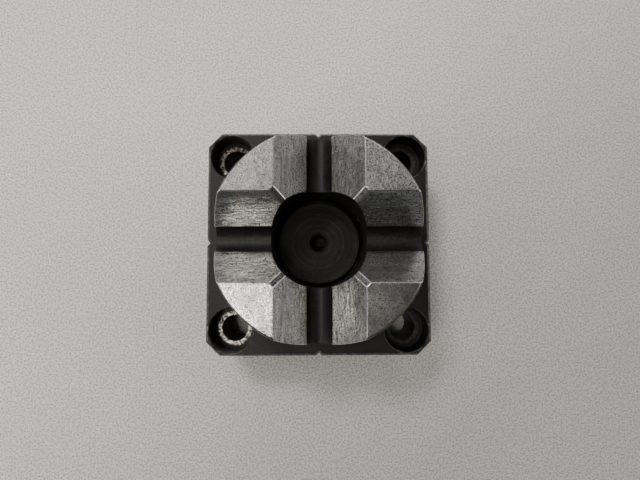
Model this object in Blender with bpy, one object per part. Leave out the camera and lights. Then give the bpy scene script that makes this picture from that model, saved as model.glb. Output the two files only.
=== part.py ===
"""Chuck-type pneumatic gripper: a V-cross locating head that clamps a pull stud with a ring of balls.

Air from a side port lifts a ring piston. The cone of the cam ring on top of it pushes the balls
inwards through the cage, over the stud's shoulder. A coil spring drives the piston back down.
The model is in metres with +Z up. The origin is the centre of the housing's bottom face.
"""

import math

import bmesh
import bpy
from mathutils import Matrix, Vector

MM = 0.001
GAP = 0.3 * MM              # left between pieces that touch or sit in each other
OVERRUN = 1.0 * MM          # how far a cutter reaches past the face that it opens

# Housing: a square block, flat on its bottom, with four corner bolt holes
SIDE = 54.0 * MM
HOUSING_TOP = 20.0 * MM
CORNER_CHAMFER = 3.3 * MM
TOP_CHAMFER = 0.5 * MM
NOTCH_HALF_WIDTH = 0.7 * MM
NOTCH_DEPTH = 0.7 * MM
BOLT_OFFSET = 21.0 * MM     # half of the 42 mm square hole pattern
BOLT_HOLE_RADIUS = 3.2 * MM
BOLT_HEAD_RADIUS = 5.3 * MM
BOLT_HEAD_DEPTH = 6.5 * MM
BORE_RADIUS = 17.5 * MM     # the cylinder that the piston slides in

# Head: a round boss with four ground pads between the arms of a V-cross
HEAD_RADIUS = 23.0 * MM
HEAD_SEAT = 0.6 * MM        # depth of the recess that centres the head on the housing
PAD_Z = 38.0 * MM
RIM_CHAMFER = 0.4 * MM
HALF_GROOVE = 9.5 * MM      # from the axis to a pad's straight edge
HALF_SLOT = 2.75 * MM       # from the axis to the slot's wall, and the radius of its floor
RIDGE_FLAT = 0.9 * MM       # legs of the corner cut on each pad
POCKET_RADIUS = 10.7 * MM
CAGE_RADIUS = 12.9 * MM     # outside of the ball cage, which is the pocket's wall
CAGE_BOTTOM = 18.6 * MM
CAVITY_TOP = 26.4 * MM      # top of the ring-shaped room for the cam ring

# Balls
BALL_COUNT = 6
BALL_RADIUS = 2.0 * MM
BALL_Z = 22.0 * MM
BALL_REST = 12.75 * MM      # from the axis to a ball's centre, open
BALL_TRAVEL = 0.95 * MM
BALL_HOLE_RADIUS = 2.1 * MM
BALL_LIP_RADIUS = 1.8 * MM  # narrows the hole so that the ball can't drop into the pocket
BALL_LIP_LENGTH = 0.9 * MM

# Piston group, at rest on its lower stop
PISTON_BOTTOM = 9.0 * MM
PISTON_TOP = 16.0 * MM
PISTON_RADIUS = 17.2 * MM
PISTON_BORE = 10.5 * MM
PISTON_TRAVEL = 2.4 * MM
CAM_TOP = 23.6 * MM
CAM_SLOPE = BALL_TRAVEL / PISTON_TRAVEL
NECK_OUTER = 15.4 * MM      # the neck holds the cam ring and surrounds the spring
NECK_INNER = 13.6 * MM
NECK_TOP = 18.3 * MM
SLEEVE_RADIUS = 11.1 * MM   # outside of the wall between the spring and the hub
SLEEVE_TOP = 15.0 * MM
PISTON_GROOVE = 15.3 * MM   # floor radius of the seal's groove
GUIDE_FLOOR = 16.2 * MM     # floor radius of the guide ring's groove
GUIDE_LOW = 13.2 * MM
GUIDE_HIGH = 15.2 * MM
SPRING_SEAT_Z = 11.0 * MM
SPRING_RADIUS = 12.0 * MM   # middle of the wire
SPRING_WIRE = 1.2 * MM
SPRING_TURNS = 3.5
SPRING_EASING = 0.35        # how much closer the end turns lie

# Cover: closes the housing from below, and its hub is the floor of the pocket
COVER_RADIUS = 22.4 * MM
COVER_BOTTOM = 0.2 * MM
COVER_SEAT = 3.7 * MM       # depth of the recess in the housing's bottom
SPIGOT_TOP = 7.0 * MM
HUB_RADIUS = 10.2 * MM
POCKET_FLOOR = 18.5 * MM
STOP_INNER = 12.0 * MM      # raised ring that the piston rests on
STOP_OUTER = 13.5 * MM
COVER_GROOVE = 15.5 * MM    # floor radii of the seal grooves
HUB_GROOVE = 8.5 * MM
RING_INNER = 7.4 * MM       # shallow ring turned into the pocket floor
RING_OUTER = 7.9 * MM
RING_DEPTH = 0.15 * MM
CENTRE_HOLE_RADIUS = 1.85 * MM
CENTRE_HOLE_DEPTH = 6.0 * MM
CENTRE_HOLE_MOUTH = 0.45 * MM
DRILL_POINT = 0.6 * MM

# Seals: each is a ring of round section
PISTON_SEAL = (16.5 * MM, 0.9 * MM, 11.2 * MM)      # radius of its centre line, of its section, height
HUB_SEAL = (9.6 * MM, 0.8 * MM, 12.6 * MM)
COVER_SEAL = (16.6 * MM, 0.8 * MM, 5.3 * MM)
PLUG_SEAL = (1.45 * MM, 0.45 * MM, 20.4 * MM)       # its height is along the port's own axis

# Air ports in two sides, both open to the room under the piston
PORT_OFFSET = 8.0 * MM
PORT_Z = 8.0 * MM
PORT_RADIUS = 2.5 * MM
PORT_DEPTH = 7.5 * MM
DUCT_RADIUS = 0.9 * MM
DUCT_END = 14.0 * MM        # from the axis
PLUG_LENGTH = 5.0 * MM
PLUG_SINK = 0.8 * MM
PLUG_SOCKET = (1.44 * MM, 2.0 * MM)                 # corner radius and depth of the hexagon
SPOT_RADIUS = 4.2 * MM
SPOT_DEPTH = 0.4 * MM

# Fasteners
SHANK_RADIUS = 1.25 * MM
HEAD_SCREW_CIRCLE = 20.3 * MM
COVER_SCREW_CIRCLE = 19.7 * MM
DOWEL_CIRCLE = 20.2 * MM
DOWEL_RADIUS = 1.5 * MM
CAP_RADIUS = 2.25 * MM
CAP_HEIGHT = 2.5 * MM
CAP_SOCKET = (1.155 * MM, 1.2 * MM)
SUNK_RADIUS = 2.35 * MM
SUNK_SINK = 0.1 * MM
SUNK_LAND = 0.2 * MM
SUNK_SOCKET = (0.87 * MM, 0.9 * MM)
HEAD_SCREW_LENGTH = 18.0 * MM
COVER_SCREW_LENGTH = 8.0 * MM
HEAD_THREAD_TOP = 25.5 * MM
COVER_THREAD_TOP = 9.2 * MM
DOWEL_LOW = 14.0 * MM
DOWEL_HIGH = 25.6 * MM

FINE = 80                   # steps round the head
ROUND = 64                  # steps round the cylinder bore
COARSE = 40                 # steps round the turned inner pieces
HOLE = 24                   # steps round small holes
SHANK = 12                  # steps round screws and pins
HEXAGON = 6
SECTION = 6                 # sides of a seal's or spring wire's section
SLOT_STEPS = 10             # steps round the slot's floor

DIAGONALS = [math.radians(45 + 90 * i) for i in range(4)]
QUARTERS = [math.radians(90 * i) for i in range(4)]
BALL_ANGLES = [math.radians(30 + 360 / BALL_COUNT * i) for i in range(BALL_COUNT)]


# ---------------------------------------------------------------- helpers

def clear_scene():
    for obj in list(bpy.data.objects):
        bpy.data.objects.remove(obj, do_unlink=True)


def make_material(name, colour, roughness, metallic):
    material = bpy.data.materials.new(name)
    material.use_nodes = True
    shader = material.node_tree.nodes["Principled BSDF"]
    shader.inputs["Base Color"].default_value = (*colour, 1.0)
    shader.inputs["Roughness"].default_value = roughness
    shader.inputs["Metallic"].default_value = metallic
    material.diffuse_color = (*colour, 1.0)
    return material


def add_empty(name, location):
    empty = bpy.data.objects.new(name, None)
    empty.location = location
    bpy.context.collection.objects.link(empty)
    return empty


def add_object(name, shape, material=None, origin=(0, 0, 0), parent=None):
    """Turn a bmesh in world coordinates into an object whose own origin is at origin."""
    origin = Vector(origin)
    bmesh.ops.translate(shape, verts=shape.verts, vec=-origin)
    bmesh.ops.recalc_face_normals(shape, faces=shape.faces)
    mesh = bpy.data.meshes.new(name)
    shape.to_mesh(mesh)
    shape.free()
    mesh.shade_smooth()
    mesh.set_sharp_from_angle(angle=math.radians(30))
    if material:
        mesh.materials.append(material)
    obj = bpy.data.objects.new(name, mesh)
    obj.parent = parent
    obj.location = origin - parent.location if parent else origin
    bpy.context.collection.objects.link(obj)
    return obj


def cut(target, name, shape):
    """Subtract a bmesh from target with a Boolean modifier."""
    cutter = add_object(name, shape)
    cutter.hide_render = True
    cutter.display_type = "WIRE"
    modifier = target.modifiers.new(name, "BOOLEAN")
    modifier.operation = "DIFFERENCE"
    modifier.solver = "EXACT"
    modifier.object = cutter


def turned(profile, steps):
    """Spin an outline of (radius, height) points about Z. It may start and end on the axis."""
    shape = bmesh.new()
    verts = [shape.verts.new((radius, 0, height)) for radius, height in profile]
    edges = [shape.edges.new(pair) for pair in zip(verts, verts[1:])]
    if profile[0][0] > 0:
        edges.append(shape.edges.new((verts[-1], verts[0])))
    bmesh.ops.spin(shape, geom=verts + edges, cent=(0, 0, 0), axis=(0, 0, 1),
                   angle=math.tau, steps=steps, use_merge=True)
    bmesh.ops.remove_doubles(shape, verts=shape.verts, dist=0.001 * MM)
    return shape


def rod(radius, low, high, steps):
    return turned([(0, low), (radius, low), (radius, high), (0, high)], steps)


def ring(seal, steps):
    """A seal ring: a round section turned about Z."""
    centre, radius, height = seal
    section = [(centre + radius * math.cos(a), height + radius * math.sin(a))
               for a in (math.tau * i / SECTION for i in range(SECTION))]
    return turned(section, steps)


def extruded(outline, low, high):
    """A prism along Z over an outline of (x, y) points."""
    shape = bmesh.new()
    face = shape.faces.new([shape.verts.new((x, y, low)) for x, y in outline])
    result = bmesh.ops.extrude_face_region(shape, geom=[face])
    top = [item for item in result["geom"] if isinstance(item, bmesh.types.BMVert)]
    bmesh.ops.translate(shape, verts=top, vec=(0, 0, high - low))
    return shape


def copies(shape, matrices):
    """One bmesh that holds a copy of shape at each matrix."""
    mesh = bpy.data.meshes.new("copy")
    shape.to_mesh(mesh)
    shape.free()
    group = bmesh.new()
    for matrix in matrices:
        placed = mesh.copy()
        placed.transform(matrix)
        group.from_mesh(placed)
        bpy.data.meshes.remove(placed)
    bpy.data.meshes.remove(mesh)
    return group


def around(radius, angles):
    """Places on a circle about Z."""
    return [Matrix.Translation((radius * math.cos(a), radius * math.sin(a), 0)) for a in angles]


def outward(angle, offset, height):
    """Points local +Z out along the direction angle, with the axis shifted sideways by offset."""
    turn = Matrix.Rotation(angle, 4, "Z") @ Matrix.Translation((0, offset, height))
    return turn @ Matrix.Rotation(math.radians(90), 4, "Y")


# The front port is open and the right-hand one is plugged
FRONT_PORT = outward(math.radians(270), -PORT_OFFSET, PORT_Z)
RIGHT_PORT = outward(0, PORT_OFFSET, PORT_Z)


# ---------------------------------------------------------------- housing and head

def housing_outline():
    """One side of the square with its notch and corner, turned four times."""
    half = SIDE / 2
    side = [(half, -half + CORNER_CHAMFER), (half, -NOTCH_HALF_WIDTH), (half - NOTCH_DEPTH, 0),
            (half, NOTCH_HALF_WIDTH), (half, half - CORNER_CHAMFER)]
    outline = []
    for angle in QUARTERS:
        c, s = round(math.cos(angle)), round(math.sin(angle))
        outline += [(c * x - s * y, s * x + c * y) for x, y in side]
    return outline


def base_housing(material):
    shape = extruded(housing_outline(), 0, HOUSING_TOP)
    top_edges = [e for e in shape.edges if all(v.co.z > HOUSING_TOP / 2 for v in e.verts)]
    bmesh.ops.bevel(shape, geom=top_edges, offset=TOP_CHAMFER, segments=1, affect="EDGES")
    housing = add_object("base_housing", shape, material)

    seat = HOUSING_TOP - HEAD_SEAT
    bore = [(0, -OVERRUN), (COVER_RADIUS + GAP, -OVERRUN), (COVER_RADIUS + GAP, COVER_SEAT),
            (BORE_RADIUS, COVER_SEAT), (BORE_RADIUS, seat), (HEAD_RADIUS + GAP, seat),
            (HEAD_RADIUS + GAP, HOUSING_TOP + OVERRUN), (0, HOUSING_TOP + OVERRUN)]
    cut(housing, "bore_cutter", turned(bore, ROUND))

    ledge = HOUSING_TOP - BOLT_HEAD_DEPTH
    bolt = [(0, -OVERRUN), (BOLT_HOLE_RADIUS, -OVERRUN), (BOLT_HOLE_RADIUS, ledge),
            (BOLT_HEAD_RADIUS, ledge), (BOLT_HEAD_RADIUS, HOUSING_TOP + OVERRUN),
            (0, HOUSING_TOP + OVERRUN)]
    corners = around(BOLT_OFFSET * math.sqrt(2), DIAGONALS)
    cut(housing, "corner_bolt_cutters", copies(turned(bolt, HOLE), corners))

    cap_top = COVER_SEAT + GAP + CAP_HEIGHT + GAP
    screw = [(0, COVER_SEAT - OVERRUN), (CAP_RADIUS + GAP, COVER_SEAT - OVERRUN),
             (CAP_RADIUS + GAP, cap_top), (SHANK_RADIUS + GAP, cap_top),
             (SHANK_RADIUS + GAP, HOUSING_TOP), (0, HOUSING_TOP)]
    cut(housing, "head_screw_cutters",
        copies(turned(screw, SHANK), around(HEAD_SCREW_CIRCLE, DIAGONALS)))

    thread = rod(SHANK_RADIUS + GAP, COVER_SEAT - OVERRUN, COVER_THREAD_TOP, SHANK)
    cut(housing, "cover_screw_cutters", copies(thread, around(COVER_SCREW_CIRCLE, QUARTERS)))

    dowel = rod(DOWEL_RADIUS + GAP, DOWEL_LOW, HOUSING_TOP, SHANK)
    cut(housing, "housing_dowel_cutters", copies(dowel, around(DOWEL_CIRCLE, QUARTERS[::2])))

    half = SIDE / 2
    port = [(0, DUCT_END), (DUCT_RADIUS, DUCT_END), (DUCT_RADIUS, half - PORT_DEPTH),
            (PORT_RADIUS, half - PORT_DEPTH), (PORT_RADIUS, half - SPOT_DEPTH),
            (SPOT_RADIUS, half - SPOT_DEPTH), (SPOT_RADIUS, half + OVERRUN), (0, half + OVERRUN)]
    cut(housing, "port_cutters", copies(turned(port, HOLE), [FRONT_PORT, RIGHT_PORT]))


def groove_cutter():
    """Section of one arm of the V-cross: 45 degree flanks down to a slot with a half-round floor."""
    top = PAD_Z + OVERRUN
    reach = HALF_GROOVE + OVERRUN
    edge = PAD_Z - (HALF_GROOVE - HALF_SLOT)
    section = [(-reach, top)]
    for i in range(SLOT_STEPS + 1):
        angle = math.pi * (1 + i / SLOT_STEPS)
        section.append((HALF_SLOT * math.cos(angle), edge + HALF_SLOT * math.sin(angle)))
    section.append((reach, top))
    length = HEAD_RADIUS + OVERRUN
    shape = extruded(section, -length, length)
    upright = Matrix.Rotation(math.radians(90), 4, "X")
    bmesh.ops.transform(shape, matrix=upright, verts=shape.verts)
    return shape


def ridge_cutters():
    """A block over each ridge where two flanks meet, whose lower face is the ridge's narrow flat."""
    size = 8 * MM
    normal = Vector((-1, -1, 2)).normalized()
    along = Vector((1, 1, 1)).normalized()
    across = normal.cross(along)
    centre = Vector((HALF_GROOVE, HALF_GROOVE, PAD_Z - RIDGE_FLAT / 2)) + normal * size / 2
    frame = Matrix((along, across, normal)).transposed().to_4x4()
    frame.translation = centre
    block = bmesh.new()
    bmesh.ops.create_cube(block, size=size, matrix=frame)
    return copies(block, [Matrix.Rotation(a, 4, "Z") for a in QUARTERS])


def chuck_head(material):
    bottom = HOUSING_TOP - HEAD_SEAT + GAP
    profile = [(POCKET_RADIUS, CAGE_BOTTOM), (CAGE_RADIUS, CAGE_BOTTOM), (CAGE_RADIUS, CAVITY_TOP),
               (BORE_RADIUS, CAVITY_TOP), (BORE_RADIUS, bottom), (HEAD_RADIUS, bottom),
               (HEAD_RADIUS, PAD_Z - RIM_CHAMFER), (HEAD_RADIUS - RIM_CHAMFER, PAD_Z),
               (POCKET_RADIUS, PAD_Z)]
    head = add_object("chuck_head", turned(profile, FINE), material)
    cut(head, "groove_cutter_y", groove_cutter())
    cut(head, "groove_cutter_x", copies(groove_cutter(), [Matrix.Rotation(math.radians(90), 4, "Z")]))
    cut(head, "ridge_cutters", ridge_cutters())

    lip_end = POCKET_RADIUS + BALL_LIP_LENGTH
    hole = [(0, POCKET_RADIUS - OVERRUN), (BALL_LIP_RADIUS, POCKET_RADIUS - OVERRUN),
            (BALL_LIP_RADIUS, POCKET_RADIUS), (BALL_HOLE_RADIUS, lip_end),
            (BALL_HOLE_RADIUS, CAGE_RADIUS + OVERRUN), (0, CAGE_RADIUS + OVERRUN)]
    cut(head, "ball_hole_cutters",
        copies(turned(hole, HOLE), [outward(a, 0, BALL_Z) for a in BALL_ANGLES]))

    thread = rod(SHANK_RADIUS + GAP, bottom - OVERRUN, HEAD_THREAD_TOP, SHANK)
    cut(head, "head_thread_cutters", copies(thread, around(HEAD_SCREW_CIRCLE, DIAGONALS)))
    dowel = rod(DOWEL_RADIUS + GAP, bottom - OVERRUN, DOWEL_HIGH, SHANK)
    cut(head, "head_dowel_cutters", copies(dowel, around(DOWEL_CIRCLE, QUARTERS[::2])))


# ---------------------------------------------------------------- cover

def seal_groove(seal, wall, floor):
    """Three-sided groove for a ring, as profile points from its lower edge to its upper edge."""
    half = seal[1] + GAP
    return [(wall, seal[2] - half), (floor, seal[2] - half), (floor, seal[2] + half),
            (wall, seal[2] + half)]


def bottom_cover(material):
    """Flange, spigot and hub in one turned piece."""
    seat_top = COVER_SEAT - GAP
    spigot = BORE_RADIUS - GAP
    stop_top = PISTON_BOTTOM - GAP
    profile = [(0, COVER_BOTTOM), (COVER_RADIUS - GAP, COVER_BOTTOM),
               (COVER_RADIUS, COVER_BOTTOM + GAP), (COVER_RADIUS, seat_top)]
    profile += [(spigot, seat_top)] + seal_groove(COVER_SEAL, spigot, COVER_GROOVE)
    profile += [(spigot, SPIGOT_TOP - GAP), (spigot - GAP, SPIGOT_TOP), (STOP_OUTER, SPIGOT_TOP),
                (STOP_OUTER, stop_top), (STOP_INNER, stop_top), (STOP_INNER, SPIGOT_TOP),
                (HUB_RADIUS, SPIGOT_TOP)]
    profile += seal_groove(HUB_SEAL, HUB_RADIUS, HUB_GROOVE)
    hole_floor = POCKET_FLOOR - CENTRE_HOLE_DEPTH
    profile += [(HUB_RADIUS, POCKET_FLOOR - GAP), (HUB_RADIUS - GAP, POCKET_FLOOR),
                (RING_OUTER, POCKET_FLOOR), (RING_OUTER, POCKET_FLOOR - RING_DEPTH),
                (RING_INNER, POCKET_FLOOR - RING_DEPTH), (RING_INNER, POCKET_FLOOR),
                (CENTRE_HOLE_RADIUS + CENTRE_HOLE_MOUTH, POCKET_FLOOR),
                (CENTRE_HOLE_RADIUS, POCKET_FLOOR - CENTRE_HOLE_MOUTH),
                (CENTRE_HOLE_RADIUS, hole_floor), (0, hole_floor - DRILL_POINT)]
    cover = add_object("bottom_cover", turned(profile, COARSE), material)

    sunk_top = COVER_BOTTOM + SUNK_SINK + GAP
    cone_top = sunk_top + SUNK_RADIUS - SHANK_RADIUS
    hole = [(0, -OVERRUN), (SUNK_RADIUS + GAP, -OVERRUN), (SUNK_RADIUS + GAP, sunk_top),
            (SHANK_RADIUS + GAP, cone_top), (SHANK_RADIUS + GAP, COVER_SEAT + OVERRUN),
            (0, COVER_SEAT + OVERRUN)]
    cut(cover, "cover_hole_cutters",
        copies(turned(hole, SHANK), around(COVER_SCREW_CIRCLE, QUARTERS)))


# ---------------------------------------------------------------- piston group

def locking_piston(material, slide):
    profile = [(PISTON_BORE, PISTON_BOTTOM), (PISTON_RADIUS - GAP, PISTON_BOTTOM),
               (PISTON_RADIUS, PISTON_BOTTOM + GAP)]
    profile += seal_groove(PISTON_SEAL, PISTON_RADIUS, PISTON_GROOVE)
    profile += [(PISTON_RADIUS, GUIDE_LOW), (GUIDE_FLOOR, GUIDE_LOW), (GUIDE_FLOOR, GUIDE_HIGH),
                (PISTON_RADIUS, GUIDE_HIGH), (PISTON_RADIUS, PISTON_TOP), (NECK_OUTER, PISTON_TOP),
                (NECK_OUTER, NECK_TOP), (NECK_INNER, NECK_TOP), (NECK_INNER, SPRING_SEAT_Z),
                (SLEEVE_RADIUS, SPRING_SEAT_Z), (SLEEVE_RADIUS, SLEEVE_TOP),
                (PISTON_BORE, SLEEVE_TOP)]
    add_object("locking_piston", turned(profile, COARSE), material, slide.location, slide)


def cam_ring(material, slide):
    """The cone that pushes the balls in, seated over the piston's neck."""
    low = PISTON_TOP + GAP
    step = NECK_TOP + GAP
    seat = NECK_OUTER + GAP
    cone_top = BALL_Z + 0.2 * MM        # just above where the cone touches the balls at rest
    contact = BALL_REST + BALL_RADIUS * math.sqrt(1 + CAM_SLOPE ** 2) + GAP / 2

    def cone(height):
        return contact + CAM_SLOPE * (height - BALL_Z)

    profile = [(seat, low), (PISTON_RADIUS, low), (PISTON_RADIUS, CAM_TOP - GAP),
               (PISTON_RADIUS - GAP, CAM_TOP), (cone(cone_top), CAM_TOP),
               (cone(cone_top), cone_top), (cone(step), step), (seat, step)]
    add_object("cam_ring", turned(profile, COARSE), material, slide.location, slide)


def guide_ring(material, slide):
    inner, outer = GUIDE_FLOOR + GAP, PISTON_RADIUS + 0.2 * MM     # stands a little proud
    low, high = GUIDE_LOW + GAP, GUIDE_HIGH - GAP
    profile = [(inner, low), (outer, low), (outer, high), (inner, high)]
    add_object("piston_guide_ring", turned(profile, COARSE), material, slide.location, slide)


def return_spring(material):
    """A helix with easier pitch at both ends, between the piston's seat and the cage."""
    per_turn = 20
    low = SPRING_SEAT_Z + GAP + SPRING_WIRE / 2
    high = CAGE_BOTTOM - GAP - SPRING_WIRE / 2
    count = int(SPRING_TURNS * per_turn)
    shape = bmesh.new()
    rings = []
    for i in range(count + 1):
        t = i / count
        angle = math.tau * SPRING_TURNS * t
        height = low + (high - low) * (t - SPRING_EASING * math.sin(math.tau * t) / math.tau)
        loop = []
        for k in range(SECTION):
            tilt = math.tau * k / SECTION
            radius = SPRING_RADIUS + SPRING_WIRE / 2 * math.cos(tilt)
            loop.append(shape.verts.new((radius * math.cos(angle), radius * math.sin(angle),
                                         height + SPRING_WIRE / 2 * math.sin(tilt))))
        rings.append(loop)
    for lower, upper in zip(rings, rings[1:]):
        for k in range(SECTION):
            n = (k + 1) % SECTION
            shape.faces.new((lower[k], lower[n], upper[n], upper[k]))
    shape.faces.new(rings[0])
    shape.faces.new(rings[-1])
    add_object("return_spring", shape, material, (0, 0, CAGE_BOTTOM - GAP))


def locking_balls(material):
    for number, angle in enumerate(BALL_ANGLES, 1):
        centre = Vector((BALL_REST * math.cos(angle), BALL_REST * math.sin(angle), BALL_Z))
        shape = bmesh.new()
        bmesh.ops.create_uvsphere(shape, u_segments=16, v_segments=8, radius=BALL_RADIUS,
                                  matrix=Matrix.Translation(centre))
        add_object(f"locking_ball_{number}", shape, material, centre)


# ---------------------------------------------------------------- fasteners and port

def head_screws(material):
    """Socket-head screws that pull the head onto the housing from below."""
    low = COVER_SEAT + GAP
    shoulder = low + CAP_HEIGHT
    profile = [(0, low), (CAP_RADIUS, low), (CAP_RADIUS, shoulder), (SHANK_RADIUS, shoulder),
               (SHANK_RADIUS, shoulder + HEAD_SCREW_LENGTH), (0, shoulder + HEAD_SCREW_LENGTH)]
    for number, place in enumerate(around(HEAD_SCREW_CIRCLE, DIAGONALS), 1):
        name = f"head_screw_{number}"
        screw = add_object(name, copies(turned(profile, SHANK), [place]), material)
        socket = rod(CAP_SOCKET[0], low - OVERRUN, low + CAP_SOCKET[1], HEXAGON)
        cut(screw, name + "_socket_cutter", copies(socket, [place]))


def cover_screws(material):
    """Countersunk screws that hold the cover to the housing."""
    low = COVER_BOTTOM + SUNK_SINK
    land = low + SUNK_LAND
    high = low + COVER_SCREW_LENGTH
    profile = [(0, low), (SUNK_RADIUS, low), (SUNK_RADIUS, land),
               (SHANK_RADIUS, land + SUNK_RADIUS - SHANK_RADIUS), (SHANK_RADIUS, high), (0, high)]
    for number, place in enumerate(around(COVER_SCREW_CIRCLE, QUARTERS), 1):
        name = f"cover_screw_{number}"
        screw = add_object(name, copies(turned(profile, SHANK), [place]), material)
        socket = rod(SUNK_SOCKET[0], low - OVERRUN, low + SUNK_SOCKET[1], HEXAGON)
        cut(screw, name + "_socket_cutter", copies(socket, [place]))


def dowel_pins(material):
    for number, place in enumerate(around(DOWEL_CIRCLE, QUARTERS[::2]), 1):
        pin = rod(DOWEL_RADIUS, DOWEL_LOW + GAP, DOWEL_HIGH - GAP, SHANK)
        add_object(f"dowel_pin_{number}", copies(pin, [place]), material)


def port_plug(material):
    outer = SIDE / 2 - PLUG_SINK
    inner = outer - PLUG_LENGTH
    profile = [(0, inner), (PORT_RADIUS - GAP, inner), (PORT_RADIUS - GAP, outer), (0, outer)]
    plug = add_object("side_port_plug", copies(turned(profile, HOLE), [RIGHT_PORT]), material)
    socket = rod(PLUG_SOCKET[0], outer - PLUG_SOCKET[1], outer + OVERRUN, HEXAGON)
    cut(plug, "plug_socket_cutter", copies(socket, [RIGHT_PORT]))


def main():
    clear_scene()
    black_oxide = make_material("black_oxide_steel", (0.018, 0.018, 0.020), 0.45, 0.6)
    ground_steel = make_material("ground_steel", (0.42, 0.42, 0.41), 0.32, 1.0)
    hardened = make_material("hardened_steel", (0.36, 0.36, 0.37), 0.25, 1.0)
    ball_steel = make_material("ball_steel", (0.75, 0.75, 0.76), 0.10, 1.0)
    spring_steel = make_material("spring_steel", (0.20, 0.20, 0.21), 0.35, 1.0)
    rubber = make_material("seal_rubber", (0.015, 0.015, 0.015), 0.70, 0.0)
    bearing = make_material("guide_plastic", (0.50, 0.42, 0.26), 0.55, 0.0)
    fastener = make_material("fastener_steel", (0.05, 0.05, 0.055), 0.40, 0.9)

    slide = add_empty("piston_slide", (0, 0, PISTON_BOTTOM))
    base_housing(black_oxide)
    chuck_head(ground_steel)
    bottom_cover(black_oxide)
    locking_piston(black_oxide, slide)
    cam_ring(hardened, slide)
    guide_ring(bearing, slide)
    add_object("piston_seal", ring(PISTON_SEAL, COARSE), rubber, slide.location, slide)
    add_object("hub_seal", ring(HUB_SEAL, COARSE), rubber)
    add_object("cover_seal", ring(COVER_SEAL, COARSE), rubber)
    return_spring(spring_steel)
    locking_balls(ball_steel)
    head_screws(fastener)
    cover_screws(fastener)
    dowel_pins(hardened)
    port_plug(fastener)
    add_object("plug_seal", copies(ring(PLUG_SEAL, SHANK), [RIGHT_PORT]), rubber)


main()
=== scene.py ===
"""Looks of the chuck-type gripper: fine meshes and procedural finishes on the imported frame."""

import math

import bmesh
import bpy
from mathutils import Matrix, Vector


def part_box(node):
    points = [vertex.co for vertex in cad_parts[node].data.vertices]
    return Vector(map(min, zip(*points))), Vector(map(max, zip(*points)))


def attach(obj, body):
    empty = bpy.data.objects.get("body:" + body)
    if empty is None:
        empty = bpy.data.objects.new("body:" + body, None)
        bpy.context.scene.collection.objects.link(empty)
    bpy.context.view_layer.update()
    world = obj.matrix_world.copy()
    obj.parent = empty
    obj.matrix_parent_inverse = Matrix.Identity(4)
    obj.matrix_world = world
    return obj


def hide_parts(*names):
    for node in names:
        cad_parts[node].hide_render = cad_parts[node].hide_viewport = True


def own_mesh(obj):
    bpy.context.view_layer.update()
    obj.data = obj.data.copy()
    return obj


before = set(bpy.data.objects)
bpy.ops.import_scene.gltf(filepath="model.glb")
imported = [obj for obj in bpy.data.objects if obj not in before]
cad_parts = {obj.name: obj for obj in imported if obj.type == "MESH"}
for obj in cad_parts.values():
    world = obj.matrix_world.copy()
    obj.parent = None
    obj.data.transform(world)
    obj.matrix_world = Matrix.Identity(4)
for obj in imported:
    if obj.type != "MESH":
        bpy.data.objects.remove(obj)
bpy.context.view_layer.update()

MM = 0.001
SEAM = 0.05 * MM            # gap shown between pieces that touch
OVERRUN = 1.0 * MM

# Sizes that the frame gives
HOUSING_LOW, HOUSING_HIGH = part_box("base_housing")
HEAD_LOW, HEAD_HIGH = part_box("chuck_head")
COVER_LOW, COVER_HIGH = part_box("bottom_cover")
PISTON_LOW, PISTON_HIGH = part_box("locking_piston")
CAM_LOW, CAM_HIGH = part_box("cam_ring")
SPRING_LOW, SPRING_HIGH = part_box("return_spring")
HALF_SIDE = HOUSING_HIGH.x
HOUSING_TOP = HOUSING_HIGH.z
HEAD_RADIUS = HEAD_HIGH.x
PAD_Z = HEAD_HIGH.z
CAGE_BOTTOM = HEAD_LOW.z
COVER_BOTTOM = COVER_LOW.z
POCKET_FLOOR = COVER_HIGH.z
PISTON_BOTTOM = PISTON_LOW.z
PISTON_TOP = PISTON_HIGH.z
PISTON_RADIUS = PISTON_HIGH.x

# Sizes inside those boxes, as in the part's design
CORNER_CHAMFER = 3.3 * MM
TOP_CHAMFER = 0.5 * MM
NOTCH_HALF_WIDTH = 0.7 * MM
NOTCH_DEPTH = 0.7 * MM
BOLT_OFFSET = 21.0 * MM
BOLT_HOLE_RADIUS = 3.2 * MM
BOLT_HEAD_RADIUS = 5.3 * MM
BOLT_LEDGE = HOUSING_TOP - 6.5 * MM
BORE_RADIUS = 17.5 * MM
HEAD_SEAT = HOUSING_TOP - 0.6 * MM
HALF_GROOVE = 9.5 * MM
HALF_SLOT = 2.75 * MM
RIDGE_FLAT = 0.9 * MM
POCKET_RADIUS = 10.7 * MM
CAGE_RADIUS = 12.9 * MM
CAVITY_TOP = 26.4 * MM
HUB_RADIUS = 10.2 * MM
COVER_RADIUS = 22.4 * MM
COVER_SEAT = 3.7 * MM
BALL_Z = 22.0 * MM
BALL_ANGLES = [math.radians(30 + 60 * i) for i in range(6)]
BALL_HOLE_RADIUS = 2.1 * MM
BALL_LIP_RADIUS = 1.8 * MM
BALL_RADIUS = 2.0 * MM
BALL_REST = 12.75 * MM
PISTON_BORE = 10.5 * MM
NECK_OUTER = 15.4 * MM
NECK_INNER = 13.6 * MM
SLEEVE_RADIUS = 11.1 * MM
SLEEVE_TOP = 15.0 * MM
SPRING_SEAT_Z = 11.0 * MM
CONE_RADIUS = 15.05 * MM    # of the cam's cone, level with the balls
CONE_SLOPE = 0.95 / 2.4
PORT_OFFSET = 8.0 * MM
PORT_Z = 8.0 * MM
PORT_RADIUS = 2.5 * MM
PORT_DEPTH = 7.5 * MM
SPOT_RADIUS = 4.2 * MM
SPOT_DEPTH = 0.4 * MM
SHANK_RADIUS = 1.25 * MM
CAP_RADIUS = 2.25 * MM
CAP_HEIGHT = 2.5 * MM
SUNK_RADIUS = 2.35 * MM
HEAD_SCREW_CIRCLE = 20.3 * MM
COVER_SCREW_CIRCLE = 19.7 * MM
DOWEL_CIRCLE = 20.2 * MM
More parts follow.
